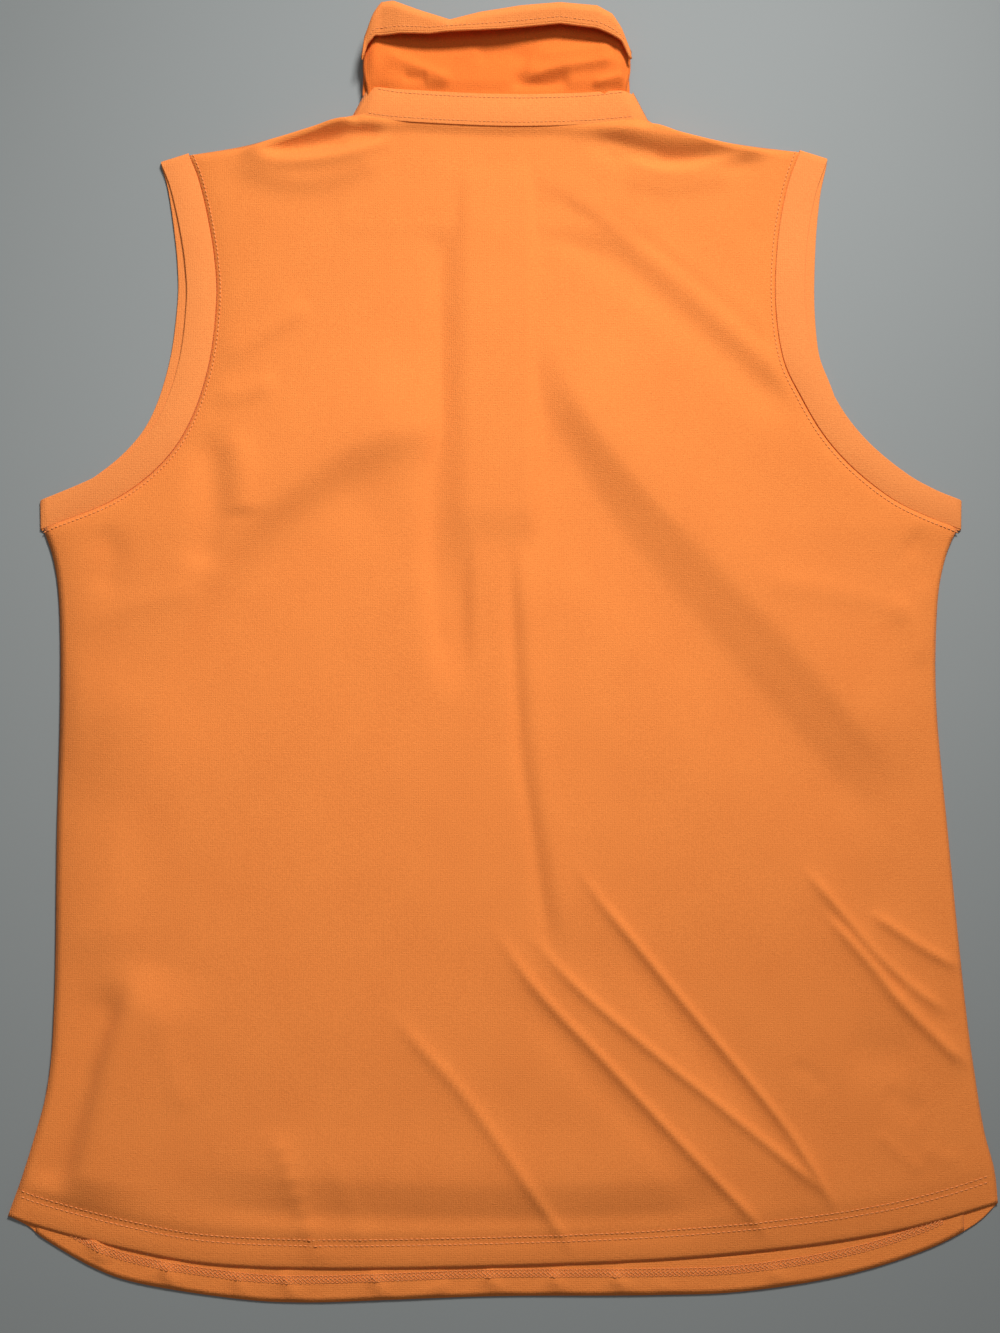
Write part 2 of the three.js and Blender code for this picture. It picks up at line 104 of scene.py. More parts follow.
backFolds = {  # line, height, width on its left and on its right, and how sharp its crest is
    "leftSweep": ([(-222, -112), (-204, -50), (-182, 14), (-156, 58), (-116, 92), (-76, 116), (-12, 126)],
                  4.2, 50, 16, 0.3),
    "leftSweepValley": ([(-196, -90), (-186, -44), (-164, 10), (-138, 44), (-98, 76), (-54, 98)],
                        -1.8, 18, 36, 0),
    "rightSweepUpper": ([(4, 272), (54, 236), (100, 196), (150, 150), (182, 122)], -1.8, 9, 12, 0.2),
    "rightSweepUpperCrest": ([(14, 282), (64, 248), (110, 210), (158, 164), (188, 138)], 1.4, 14, 8, 0.3),
    "rightSweepUpperTwin": ([(56, 262), (96, 228), (140, 190), (168, 162)], -1.0, 5, 8, 0.4),
    "rightSweepCrest": ([(20, 196), (46, 140), (82, 90), (124, 44), (168, -4), (208, -52), (242, -94)],
                        3.1, 40, 12, 0.4),
    "rightSweepValley": ([(10, 168), (32, 116), (66, 62), (106, 14), (150, -38), (190, -84), (226, -124)],
                         -2.4, 13, 36, 0),
    "creaseLeft": ([(-250, 2), (-214, 16), (-172, 25)], 0.9, 5, 7, 1),
    "creaseRight": ([(146, 31), (200, 22), (250, 9)], 0.9, 7, 5, 1),
    "placketShade": ([(-34, 262), (-30, 200), (-32, 120), (-36, 70), (-32, 10), (-26, -40)],
                     -3.6, 18, 9, 0),
    "placketLine": ([(-16, 236), (-15, 170), (-17, 110), (-16, 60), (-15, -40)], 1.2, 7, 4, 0.4),
    "centreCrease": ([(5, 72), (8, 0), (12, -68), (18, -110), (30, -196)], -1.2, 3, 5, 0.6),
    "centreCrest": ([(12, 70), (16, 0), (21, -68), (27, -110), (40, -196)], 1.3, 10, 5, 0.5),
    "lowA": ([(38, -126), (56, -153), (78, -180), (104, -212), (140, -255), (165, -287), (183, -316),
              (194, -338)], 2.4, 2.0, 2.9, 1),
    "lowAShade": ([(60, -170), (100, -222), (140, -270), (170, -310)], -1.0, 16, 9, 0),
    "lowB": ([(-8, -164), (20, -204), (58, -244), (90, -278), (114, -303), (142, -332), (158, -352)],
             2.4, 2.0, 2.9, 1),
    "lowBShade": ([(6, -200), (48, -250), (88, -292), (120, -330)], -0.8, 12, 8, 0),
    "lowC": ([(10, -166), (42, -202), (84, -238), (124, -270), (166, -304), (192, -326)], 2.1, 2.0, 2.8, 1),
    "lowD": ([(170, -132), (186, -150), (200, -167), (214, -184), (232, -201), (259, -222)],
             2.1, 2.0, 2.8, 1),
    "lowDShade": ([(180, -156), (206, -182), (234, -210)], -0.8, 6, 5, 0.2),
    "lowE": ([(180, -156), (200, -178), (214, -194), (228, -212), (249, -233), (272, -254)],
             2.8, 2.1, 2.9, 1),
    "lowF": ([(210, -160), (233, -176), (251, -187), (268, -196)], 2.1, 2.0, 2.8, 1),
    "dentA": ([(164, -248), (176, -252), (184, -262)], -0.4, 4, 5, 0.3),
    "dentB": ([(218, -262), (240, -276)], -0.5, 6, 8, 0),
    "dentC": ([(238, -292), (252, -300), (262, -298)], 0.45, 4, 6, 0.5),
    "dentD": ([(212, -284), (228, -298), (240, -308)], 0.5, 3, 4, 0.8),
    "dentE": ([(196, -240), (236, -246)], -0.9, 14, 14, 0),
    "lowG": ([(-130, -280), (-121, -302), (-114, -322), (-106, -344), (-99, -362)], 1.8, 2.0, 2.6, 1),
    "lowG2": ([(-96, -296), (-86, -320), (-76, -352)], 0.6, 4, 5, 0.7),
    "lowH": ([(-66, -212), (-50, -232), (-24, -260), (-10, -278), (5, -299), (26, -329), (46, -358)],
             2.0, 2.0, 2.8, 1),
    "lowI": ([(-196, -212), (-186, -252), (-176, -276)], 0.6, 5, 5, 0.6),
    "sideLeft": ([(-213, -198), (-229, -232), (-236, -258), (-245, -294), (-252, -322)], -3.4, 8, 16, 0),
    "sideLeftCrest": ([(-200, -186), (-218, -240), (-226, -268), (-235, -304), (-241, -330)],
                      3.6, 30, 12, 0.1),
    "sideWall": ([(-226, -10), (-226, -110), (-224, -200)], 1.6, 16, 26, 0),
    "tunnelCrest": ([(-196, -300), (-100, -309), (0, -312), (90, -310), (150, -300)], 1.5, 24, 11, 0),
    "tunnelTrough": ([(-190, -324), (-100, -332), (0, -334), (90, -332), (140, -324)], -0.9, 7, 7, 0),
    "shoulderLeftTop": ([(-160, 296), (-140, 301), (-118, 307), (-92, 311), (-52, 312)], 6.2, 12, 7.5, 0.1),
    "shoulderLeftHollow": ([(-148, 289), (-118, 294), (-98, 297), (-66, 301)], -2.8, 6, 6, 0),
    "shoulderLeftFold": ([(-158, 293), (-134, 286), (-112, 285), (-90, 289), (-62, 300)], 3.2, 5, 6, 0.3),
    "shoulderLeftUnder": ([(-164, 291), (-143, 279), (-119, 273), (-92, 278), (-68, 290)], 1.6, 9, 8, 0),
    "shoulderRightTop": ([(20, 315), (58, 309), (90, 301), (121, 298), (172, 298)], 5.2, 14, 9, 0.1),
    "shoulderRightHollow": ([(48, 300), (90, 285), (121, 284), (160, 289)], -2.8, 7, 7, 0),
    "shoulderRightFold": ([(66, 292), (88, 281), (107, 279), (132, 284), (162, 292)], 2.8, 5, 5.5, 0.3),
    "shoulderRightUnder": ([(68, 278), (98, 270), (142, 278)], 1.0, 8, 7, 0),
    "armLeftDrag": ([(-176, 122), (-170, 98), (-168, 66), (-176, 34)], -2.2, 9, 10, 0.1),
    "armLeftDragCrest": ([(-160, 120), (-152, 98), (-150, 66)], 1.4, 8, 8, 0.2),
    "armLeftRay": ([(-166, 160), (-140, 178), (-112, 196)], 1.1, 8, 5, 0.4),
    "armLeftRayLow": ([(-170, 142), (-150, 143), (-132, 150)], 1.2, 5, 6, 0.4),
    "pitLeft": ([(-238, 62), (-226, 44), (-232, 22)], -1.2, 8, 9, 0.2),
    "pitRight": ([(238, 58), (252, 42), (250, 24)], -1.2, 8, 9, 0.2),
    "pitRightLow": ([(226, 20), (240, 6), (248, -20)], 1.0, 6, 8, 0.3),
}
frontFolds = {  # short puckers along the visible lip of the front hem
    "pucker1": ([(-231, -343), (-228, -349), (-222, -357)], 1.3, 2.6, 3.4, 1),
    "pucker2": ([(-190, -356), (-186, -365), (-180, -376)], 1.7, 2.6, 3.4, 1),
    "pucker3": ([(-150, -362), (-146, -370), (-143, -378)], 1.0, 2.6, 3.4, 0.8),
    "pucker4": ([(-124, -362), (-119, -370), (-113, -380)], 1.3, 2.6, 3.4, 1),
    "pucker5": ([(-74, -362), (-68, -370), (-62, -379)], 1.4, 2.6, 3.4, 1),
    "pucker6": ([(-56, -378), (-44, -375), (-28, -369)], 1.1, 2.6, 3.4, 0.8),
    "pucker7": ([(-10, -362), (-2, -370), (6, -380)], 1.4, 2.6, 3.4, 1),
    "pucker8": ([(28, -362), (34, -371), (40, -380)], 1.6, 2.6, 3.4, 1),
    "pucker9": ([(62, -362), (69, -370), (76, -379)], 1.7, 2.6, 3.4, 1),
    "pucker10": ([(84, -369), (100, -374), (118, -376)], 1.0, 2.6, 3.4, 0.8),
    "pucker11": ([(150, -360), (158, -366), (170, -371)], 1.0, 2.6, 3.4, 0.8),
}
foldScale = 1.25


def foldHeight(x, y, folds):
    z = np.zeros(x.shape)
    for points, height, left, right, sharp in folds.values():
        line = sampleLine(points, 8 + 4 * len(points))
        dist, side, share = nearLine(x, y, line)
        away = dist / np.where(side > 0, left, right)
        soft = np.exp(-away ** 2)
        crest = 0.74 * np.exp(-1.1 * away ** 1.5) + 0.26 * np.exp(-(away / 4.5) ** 2)
        taper = smooth(share / 0.22) * smooth((1 - share) / 0.16)
        z += foldScale * height * taper * ((1 - sharp) * soft + sharp * crest)
    return z


# The shirt's outline and how high its two layers lie

shirtOutline = {
    "leftSide": [(-278, -332), (-269, -302), (-258, -258), (-255, -211), (-256, -120), (-256, -42),
                 (-258, 14), (-262, 42), (-269, 62)],
    "rightSide": [(281.5, -325), (280, -306), (275, -284), (271, -256), (266, -211), (259, -120), (254, -42),
                  (256, 14), (261, 42), (269, 62)],
    "leftArmhole": [(-269, 62), (-228, 79), (-201, 100), (-184.5, 125), (-173.8, 160), (-170, 198),
                    (-171.5, 224), (-176, 250), (-182, 274), (-188, 289)],
    "rightArmhole": [(270, 62), (251, 69.5), (231, 80), (209, 98), (192, 118), (179, 141), (169, 164),
                     (165, 198), (167, 236), (173, 268), (181, 291)],
    "leftShoulder": [(-188, 289), (-156, 294.5), (-133, 301), (-113, 307), (-92, 312.5)],
    "rightShoulder": [(181, 291), (150, 295), (128, 299), (108, 304), (88, 309.5)],
    "neckHalf": 88, "neckY": 309, "frontNeckY": 243,
    "backHem": [(-278, -332), (-258, -339), (-210, -351), (-163, -359), (-95, -361.5), (0, -360),
                (90, -356.5), (163, -350), (212, -343), (248, -335), (281.5, -325)],
    "frontHem": [(-278, -332), (-266, -338), (-257, -345), (-228, -361), (-201, -369.5), (-148, -377.5),
                 (-110, -379.5), (-61, -378), (0, -376), (84, -375.5), (137, -373.5), (195, -364.5),
                 (240, -351), (268, -337), (281.5, -325)],
    "placketHalf": 15, "placketFootY": 75,
}


def edgeLine(side):
    lower = sampleLine(shirtOutline[side + "Side"], 90)
    upper = sampleLine(shirtOutline[side + "Armhole"], 90)
    return np.vstack([lower[:-1], upper])


leftEdge, rightEdge = edgeLine("left"), edgeLine("right")


def sideRoom(x, y):  # how far inside the nearer side edge
    left = np.interp(y, leftEdge[:, 1], leftEdge[:, 0])
    right = np.interp(y, rightEdge[:, 1], rightEdge[:, 0])
    return np.minimum(x - left, right - x)


backHemLine = sampleLine(shirtOutline["backHem"], 160)
frontHemLine = sampleLine(shirtOutline["frontHem"], 160)


def backHemY(x):
    return np.interp(x, backHemLine[:, 0], backHemLine[:, 1])


def frontHemY(x):
    return np.interp(x, frontHemLine[:, 0], frontHemLine[:, 1])


def backTopY(x):
    left, right = np.array(shirtOutline["leftShoulder"]), np.array(shirtOutline["rightShoulder"])[::-1]
    dip = [(-60, 309), (0, 306), (50, 306.8)]
    line = sampleLine(np.vstack([left, dip, right]), 120)
    return np.interp(x, line[:, 0], line[:, 1])


def frontTopY(x):
    inside = np.clip(1 - (np.abs(x) / shirtOutline["neckHalf"]) ** 2.6, 0, 1)
    return backTopY(x) - (shirtOutline["neckY"] - shirtOutline["frontNeckY"]) * inside ** 0.8


def softNoise(x, y, size, seed):  # slow waves that never repeat over the shirt
    z = np.zeros(np.shape(x))
    for k in range(5):
        angle = 1.7 * k + seed
        along = x * math.cos(angle) + y * math.sin(angle)
        z += np.sin(along * 2 * math.pi / (size * (1 + 0.23 * k)) + 2.1 * k * seed)
    return z / 5


def outside(value, low, high):
    return np.maximum(np.maximum(low - value, value - high), 0)


lie = {  # how high the two layers lie above the table
    "front": 0.92, "frontOverPlacket": 2.1, "under": 1.4, "overPlacket": 5.7, "overNeck": 4.1,
    "edge": 1.6, "edgeRise": 1.4, "edgeReach": 4, "bellyRise": 2.0, "bellyReach": 55,
    "neckRise": 2.4, "shoulderEdge": 1.8, "lowest": 1.65, "standSeam": 9.6, "standEndDrop": 3.6,
}


def standZ(x):  # how high the collar stand's seam lies
    return lie["standSeam"] - lie["standEndDrop"] * smooth((np.abs(x) - 80) / 9)


def underHeight(x, y):  # what the back panel rests on
    placketAway = np.hypot(outside(x, -17, 15) / np.where(x < 0, 15, 11), outside(y, 78, 268) / 34)
    neckAway = np.hypot(outside(x, -90, 88) / 12, outside(y, 246, 400) / 18)
    overPlacket = lie["overPlacket"] * np.exp(-placketAway ** 2)
    overNeck = lie["overNeck"] * np.exp(-neckAway ** 2)
    return lie["under"] + np.maximum(overPlacket, overNeck)


def backHeight(x, y):
    room = np.maximum(sideRoom(x, y), 0)
    z = lie["edge"] + lie["edgeRise"] * (1 - np.exp(-room / lie["edgeReach"]))
    z += lie["bellyRise"] * (1 - np.exp(-room / lie["bellyReach"]))
    z += foldHeight(x, y, backFolds) * smooth((room + 3) / 16)
    z += 0.5 * softNoise(x, y, 150, 1.3) + 0.15 * softNoise(x, y, 46, 4.1)
    z += lie["neckRise"] * smooth((y - 215) / 94) * np.exp(-(x / 105) ** 4)
    aboveHem = y - backHemY(x)
    seamGroove = (0.25 + 0.55 * smooth((140 - x) / 60)) * np.exp(-((aboveHem - 14.5) / 4.2) ** 2)
    z -= seamGroove * smooth(room / 10)
    z = z * (1 - 0.45 * smooth((26 - aboveHem) / 30))
    z -= 1.0 * smooth((3 - aboveHem) / 4) * smooth(room / 20)
    rest = underHeight(x, y) * smooth(room / 12)
    z = rest + 0.4 * np.logaddexp(0, (z - rest) / 0.4)
    below = backTopY(x) - y
    atNeck = smooth((8 - below) / 8) * smooth((94 - np.abs(x)) / 8)
    atShoulder = smooth((4 - below) / 4) * smooth((np.abs(x) - 86) / 7)
    z = z * (1 - atNeck) + (standZ(x) + 0.2) * atNeck
    z = z * (1 - atShoulder) + lie["shoulderEdge"] * atShoulder
    return np.maximum(z, lie["lowest"])


def frontHeight(x, y):
    beside = smooth((48 - np.abs(x)) / 30)
    z = lie["front"] + lie["frontOverPlacket"] * beside * smooth((y - 40) / 40)
    z += 0.12 * softNoise(x, y, 70, 2.2)
    aboveHem = y - frontHemY(x)
    lip = smooth((26 - aboveHem) / 8) * smooth((aboveHem - 0.5) / 5)
    return z + lip * foldHeight(x, y, frontFolds)


# Making pieces

def finishMesh(name, bm, slot, body="shirt", replaces=(), material=None):
    mesh = bpy.data.meshes.new(name)
    bm.to_mesh(mesh)
    bm.free()
    for polygon in mesh.polygons:
        polygon.use_smooth = True
    piece = bpy.data.objects.new(name, mesh)
    bpy.context.scene.collection.objects.link(piece)
    if material:
        mesh.materials.append(material.made)
    if replaces:
        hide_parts(*replaces)
    if body:
        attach(piece, body)
    return piece


def gridPiece(name, columns, rows, place, **finish):  # a patch of cloth; place gives millimetres
    bm = bmesh.new()
    bmesh.ops.create_grid(bm, x_segments=columns, y_segments=rows, size=1.0)
    uvLayer = bm.loops.layers.uv.new("cloth")
    start = np.array([v.co[:2] for v in bm.verts]) * 0.5 + 0.5
    points = place(start[:, 0], start[:, 1]) * mm
    for vert, point in zip(bm.verts, points):
        vert.co = point
    bm.verts.index_update()
    for face in bm.faces:
        for loop in face.loops:
            loop[uvLayer].uv = loop.vert.co[:2]
    return finishMesh(name, bm, **finish)


def thicken(piece, thickness, offset=-1.0):
    solid = piece.modifiers.new("ply", "SOLIDIFY")
    solid.thickness = thickness * mm
    solid.offset = offset
    solid.use_even_offset = False


def cutSection(width, thick, corner, steps=3):  # a flat strip's section with round edges
    points = []
    for cx, cy, turn in ((width - corner, thick / 2 - corner, 0), (corner, thick / 2 - corner, 90),
                         (corner, corner - thick / 2, 180), (width - corner, corner - thick / 2, 270)):
        for k in range(steps + 1):
            angle = math.radians(turn + 90 * k / steps)
            points.append((cx + corner * math.cos(angle), cy + corner * math.sin(angle)))
    return np.array(points)


def ringSection(radius, sides=6):
    angle = np.linspace(0, 2 * math.pi, sides, endpoint=False)
    return np.stack([radius * np.cos(angle), radius * np.sin(angle)], axis=1)


def sweep(name, path, out, section, closed=False, **finish):
    # carries a closed section along a path; out is the way its width points
    path, out = np.array(path, float), np.array(out, float)
    along = np.roll(path, -1, axis=0) - np.roll(path, 1, axis=0)
    if not closed:
        along[0], along[-1] = path[1] - path[0], path[-1] - path[-2]
    along /= np.linalg.norm(along, axis=1)[:, None] + 1e-9
    out /= np.linalg.norm(out, axis=1)[:, None] + 1e-9
    up = np.cross(along, out)
    up /= np.linalg.norm(up, axis=1)[:, None] + 1e-9
    around = len(section)
    bm = bmesh.new()
    uvLayer = bm.loops.layers.uv.new("cloth")
    rings = []
    for p, o, u in zip(path, out, up):
        ring = [bm.verts.new((p + o * w + u * h) * mm) for w, h in section]
        rings.append(ring)
    run = lineLength(path) * mm
    girth = lineLength(np.vstack([section, section[:1]])) * mm
    last = len(rings) if closed else len(rings) - 1
    for i in range(last):
        a, b = rings[i], rings[(i + 1) % len(rings)]
        for k in range(around):
            n = (k + 1) % around
            face = bm.faces.new((a[k], b[k], b[n], a[n]))
            ahead = run[i + 1] if i + 1 < len(run) else run[i] + run[1]
            for loop, uv in zip(face.loops, ((run[i], girth[k]), (ahead, girth[k]),
                                             (ahead, girth[k + 1]), (run[i], girth[k + 1]))):
                loop[uvLayer].uv = uv
    if not closed:
        bm.faces.new(rings[0])
        bm.faces.new(rings[-1][::-1])
    bmesh.ops.recalc_face_normals(bm, faces=bm.faces)
    return finishMesh(name, bm, **finish)


def stitchRow(name, path, pitch, length, radius, **finish):  # separate stitches along a line
    path = np.array(path, float)
    total = lineLength(path)[-1]
    count = int(total / pitch)
    starts = alongLine(path, (np.arange(count) + 0.5 - 0.5 * length / pitch) / count)
    ends = alongLine(path, (np.arange(count) + 0.5 + 0.5 * length / pitch) / count)
    bm = bmesh.new()
    for a, b in zip(starts, ends):
        middle, way = Vector((a + b) / 2 * mm), Vector((b - a) * mm)
        turn = way.to_track_quat("Z", "Y").to_matrix().to_4x4()
        size = Matrix.Diagonal((radius * mm, radius * mm, way.length / 2, 1))
        bmesh.ops.create_uvsphere(bm, u_segments=6, v_segments=4, radius=1,
                                  matrix=Matrix.Translation(middle) @ turn @ size)
    return finishMesh(name, bm, **finish)


def onCloth(line, heightAt, lift):
    line = np.array(line, float)
    z = heightAt(line[:, 0], line[:, 1]) + lift
    return np.column_stack([line[:, :2], z])


def flatNormals(line, side=1):  # level vectors across a line, to its left for side 1
    along = np.gradient(np.array(line, float)[:, :2], axis=0)
    along /= np.linalg.norm(along, axis=1)[:, None] + 1e-9
    return np.column_stack([-along[:, 1] * side, along[:, 0] * side, np.zeros(len(along))])


# Materials

class Wire:  # a node's output that takes part in arithmetic
    def __init__(self, shader, socket):
        self.shader, self.socket = shader, socket

    def maths(self, operation, *others):
        values = dict(enumerate((self,) + others))
        return self.shader.node("ShaderNodeMath", {"operation": operation}, values)

    def __add__(self, other):
        return self.maths("ADD", other)

    def __sub__(self, other):
        return self.maths("SUBTRACT", other)

    def __mul__(self, other):
        return self.maths("MULTIPLY", other)

    def sine(self):
        return self.maths("SINE")

    def size(self):
        return self.maths("ABSOLUTE")


class Shader:
    def __init__(self, name, color, roughness, **constants):
        self.made = bpy.data.materials.new(name)
        self.made.use_nodes = True
        self.nodes, self.links = self.made.node_tree.nodes, self.made.node_tree.links
        self.surface = self.nodes["Principled BSDF"]
        self.surface.inputs["Base Color"].default_value = (*color, 1)
        self.surface.inputs["Roughness"].default_value = roughness
        for key, value in constants.items():
            self.surface.inputs[key.replace("_", " ")].default_value = value

    def node(self, kind, settings=None, values=None, output=0):
        made = self.nodes.new(kind)
        for key, value in (settings or {}).items():
            setattr(made, key, value)
        for key, value in (values or {}).items():
            self.plug(value, made.inputs[key])
        return Wire(self, made.outputs[output])

    def plug(self, value, socket):
        if isinstance(value, Wire):
            self.links.new(value.socket, socket)
        elif isinstance(value, tuple) and len(value) == 3 and socket.type == "RGBA":
            socket.default_value = (*value, 1)
        else:
            socket.default_value = value

    def feed(self, key, value):
        self.plug(value, self.surface.inputs[key])

    def place(self):  # x, y and z in millimetres
        coordinate = self.nodes.new("ShaderNodeTexCoord").outputs["Object"]
        split = self.nodes.new("ShaderNodeSeparateXYZ")
        self.links.new(coordinate, split.inputs[0])
        return [Wire(self, split.outputs[k]) * 1000 for k in range(3)]

    def noise(self, scale, detail=3.0, roughness=0.55):  # scale in waves per metre
        coordinate = self.node("ShaderNodeTexCoord", output=3)
        return self.node("ShaderNodeTexNoise", None, {"Vector": coordinate, "Scale": scale, "Detail": detail,
                                                      "Roughness": roughness})

    def blend(self, amount, low, high):
        return self.node("ShaderNodeMix", {"data_type": "RGBA"}, {0: amount, 6: low, 7: high}, 2)

    def bump(self, height, strength, distance):
        normal = self.node("ShaderNodeBump", None, {"Height": height, "Strength": strength,
                                                    "Distance": distance * mm})
        self.feed("Normal", normal)


knitLook = {"wale": 1.3, "course": 1.05, "bumpDepth": 0.3, "grain": 1150}


def knit(name, light, dark, roughness=0.82):
    shader = Shader(name, light, roughness, Sheen_Weight=0.06, Sheen_Roughness=0.45, Specular_IOR_Level=0.12)
    x, y = shader.place()[:2]
    cloudy = shader.noise(24, 4.0, 0.6)
    wander = shader.noise(190, 2.0) * 2.4
    wale = (x * (math.pi / knitLook["wale"]) + wander).sine().size()
    course = (y * (2 * math.pi / knitLook["course"]) + wale * 1.6 + wander * 1.5).sine() * 0.5 + 0.5
    loops = wale * 0.6 + course * 0.4
    grain = shader.noise(knitLook["grain"], 3.0, 0.7)
    shade = grain * 1.9 + loops * 0.2 + cloudy * 0.5 - 0.84
    shader.feed("Base Color", shader.blend(shade, dark, light))
    shader.feed("Roughness", cloudy * 0.1 + (roughness - 0.05))
    shader.bump(loops * 0.5 + grain * 1.6, 0.7, knitLook["bumpDepth"])
    return shader


def threadLook(name, color, dark):
    shader = Shader(name, color, 0.55, Sheen_Weight=0.08, Specular_IOR_Level=0.25)
    x, y = shader.place()[:2]
    twist = ((x + y) * 9.0).sine() * 0.5 + 0.5
    shader.feed("Base Color", shader.blend(twist, dark, color))
    shader.bump(twist, 0.4, 0.1)
    return shader


bodyKnit = knit("blazeKnit", (0.87, 0.262, 0.056), (0.71, 0.188, 0.036))
bandKnit = knit("bandKnit", (0.88, 0.285, 0.072), (0.74, 0.21, 0.05), roughness=0.8)
standKnit = knit("standKnit", (0.86, 0.27, 0.065), (0.72, 0.2, 0.045), roughness=0.8)
# The under collar and the collar points get a darker, more saturated orange than the other knits. This is
# painted shade and bounced light for the hollow under the curled leaf, not a different cloth.
leafShadeKnit = knit("leafShadeKnit", (0.88, 0.2, 0.03), (0.73, 0.145, 0.02), roughness=0.8)
orangeThread = threadLook("orangeThread", (0.93, 0.34, 0.1), (0.66, 0.2, 0.05))


def interliningLook():
    shader = Shader("whiteInterlining", (0.82, 0.8, 0.75), 0.9)
    shader.feed("Base Color", shader.blend(shader.noise(700), (0.7, 0.68, 0.62), (0.86, 0.84, 0.8)))
    shader.bump(shader.noise(1500), 0.4, 0.1)
    return shader


def satinLook():
    shader = Shader("labelSatin", (0.85, 0.84, 0.8), 0.38, Sheen_Weight=0.2)
    y = shader.place()[1]
    weft = (y * 14).sine() * 0.5 + 0.5
    shader.feed("Base Color", shader.blend(weft, (0.76, 0.75, 0.71), (0.88, 0.87, 0.84)))
    shader.bump(weft, 0.3, 0.05)
    return shader


def resinLook():
    shader = Shader("buttonResin", (0.74, 0.2, 0.04), 0.25, Coat_Weight=0.4, Coat_Roughness=0.15)
    swirl = shader.noise(160, 4.0, 0.7)
    shader.feed("Base Color", shader.blend(swirl, (0.62, 0.15, 0.03), (0.84, 0.27, 0.07)))
    shader.feed("Roughness", swirl * 0.2 + 0.18)
    shader.bump(shader.noise(900), 0.1, 0.05)
    return shader


whiteLining, whiteSatin, buttonResin = interliningLook(), satinLook(), resinLook()
print("materials made")


# Body panels

panelMesh = {  # columns and rows, and where lines crowd: share of the way, pull and reach
    "back": (204, 240), "backColumnsAt": [(0.74, 1.8, 0.26)],
    "backRowsAt": [(0.14, 2.2, 0.18), (0.94, 2.2, 0.08)],
    "front": (290, 130), "frontColumnsAt": [], "frontRowsAt": [(0, 9, 0.07)],
    "hemBlend": 0.3, "topBlend": 0.24,
}


def closer(t, *places):  # moves grid lines towards some places
    fine = np.linspace(0, 1, 401)
    density = np.ones(len(fine))
    for at, pull, reach in places:
        density += pull * np.exp(-((fine - at) / reach) ** 2)
    run = np.cumsum(density)
    return np.interp(t, (run - run[0]) / (run[-1] - run[0]), fine)


def panelPlace(hemAt, topAt, heightAt, columnsAt, rowsAt):
    def place(u, v):
        u, v = closer(u, *columnsAt), closer(v, *rowsAt)
        left, right = alongLine(leftEdge, v), alongLine(rightEdge, v)
        x = left[:, 0] + (right[:, 0] - left[:, 0]) * u
        y = left[:, 1] + (right[:, 1] - left[:, 1]) * u
        hemLine = leftEdge[0, 1] + (rightEdge[0, 1] - leftEdge[0, 1]) * u
        topLine = leftEdge[-1, 1] + (rightEdge[-1, 1] - leftEdge[-1, 1]) * u
        y = y + (hemAt(x) - hemLine) * smooth(1 - v / panelMesh["hemBlend"])
        y = y + (topAt(x) - topLine) * smooth(1 - (1 - v) / panelMesh["topBlend"])
        return np.column_stack([x, y, heightAt(x, y)])
    return place


backPlace = panelPlace(backHemY, backTopY, backHeight, panelMesh["backColumnsAt"],
                       panelMesh["backRowsAt"])
backPanel = gridPiece("back_cloth", *panelMesh["back"], backPlace, slot="shell_knit",
                      replaces=("back_panel",), material=bodyKnit)
thicken(backPanel, plyThickness)


def cutSlot(piece):  # opens the front panel for the placket
    half, foot = shirtOutline["placketHalf"] * mm, shirtOutline["placketFootY"] * mm
    bm = bmesh.new()
    bm.from_mesh(piece.data)
    for point, normal in (((-half, 0, 0), (1, 0, 0)), ((half, 0, 0), (1, 0, 0)), ((0, foot, 0), (0, 1, 0))):
        everything = bm.verts[:] + bm.edges[:] + bm.faces[:]
        bmesh.ops.bisect_plane(bm, geom=everything, plane_co=point, plane_no=normal)
    inside = [f for f in bm.faces if abs(f.calc_center_median().x) < half and f.calc_center_median().y > foot]
    bmesh.ops.delete(bm, geom=inside, context="FACES")
    bm.to_mesh(piece.data)
    bm.free()


frontPlace = panelPlace(frontHemY, frontTopY, frontHeight, panelMesh["frontColumnsAt"],
                        panelMesh["frontRowsAt"])
frontPanel = gridPiece("front_cloth", *panelMesh["front"], frontPlace, slot="shell_knit",
                       replaces=("front_panel",), material=bodyKnit)
cutSlot(frontPanel)
thicken(frontPanel, plyThickness)
print("body panels made")


# Side and shoulder seam allowances, inside the shirt

seamAllowance = cutSection(6, 0.5, 0.2, 2)


def insideHeight(x, y):
    return np.maximum(backHeight(x, y) - plyThickness - 0.45, frontHeight(x, y) + 0.25)


for sideName, edge, side in (("left", leftEdge, -1), ("right", rightEdge, 1)):
    sideLine = edge[2:88] - np.array([side * 0.9, 0])
    sweep(f"{sideName}_side_allowance", onCloth(sideLine, insideHeight, 0), flatNormals(sideLine, side),
          seamAllowance, slot="shell_knit", replaces=(f"{sideName}_side_seam",), material=bodyKnit)
    neckEnd, armEnd = (side * 92, 306), (side * 176, 288)
    shoulder = sampleLine([armEnd, ((neckEnd[0] + armEnd[0]) / 2, 297.5), neckEnd], 30)
    sweep(f"{sideName}_shoulder_allowance", onCloth(shoulder, frontHeight, 0.3), flatNormals(shoulder, side),
          seamAllowance, slot="shell_knit", replaces=(f"{sideName}_shoulder_seam",), material=bodyKnit)


# Armhole bands

armholeBand = {"width": 16.8, "lap": 0.7, "thick": 1.3, "corner": 0.5, "frontShift": 6.0, "leftReach": 0.88,
               "rightReach": 0.6, "stitchInset": 3.2, "stitchPitch": 2.6, "stitch": 2.0, "thread": 0.4}
bandSection = cutSection(armholeBand["width"] + armholeBand["lap"], armholeBand["thick"],
                         armholeBand["corner"])
bandSection = bandSection - np.array([armholeBand["lap"], 0])


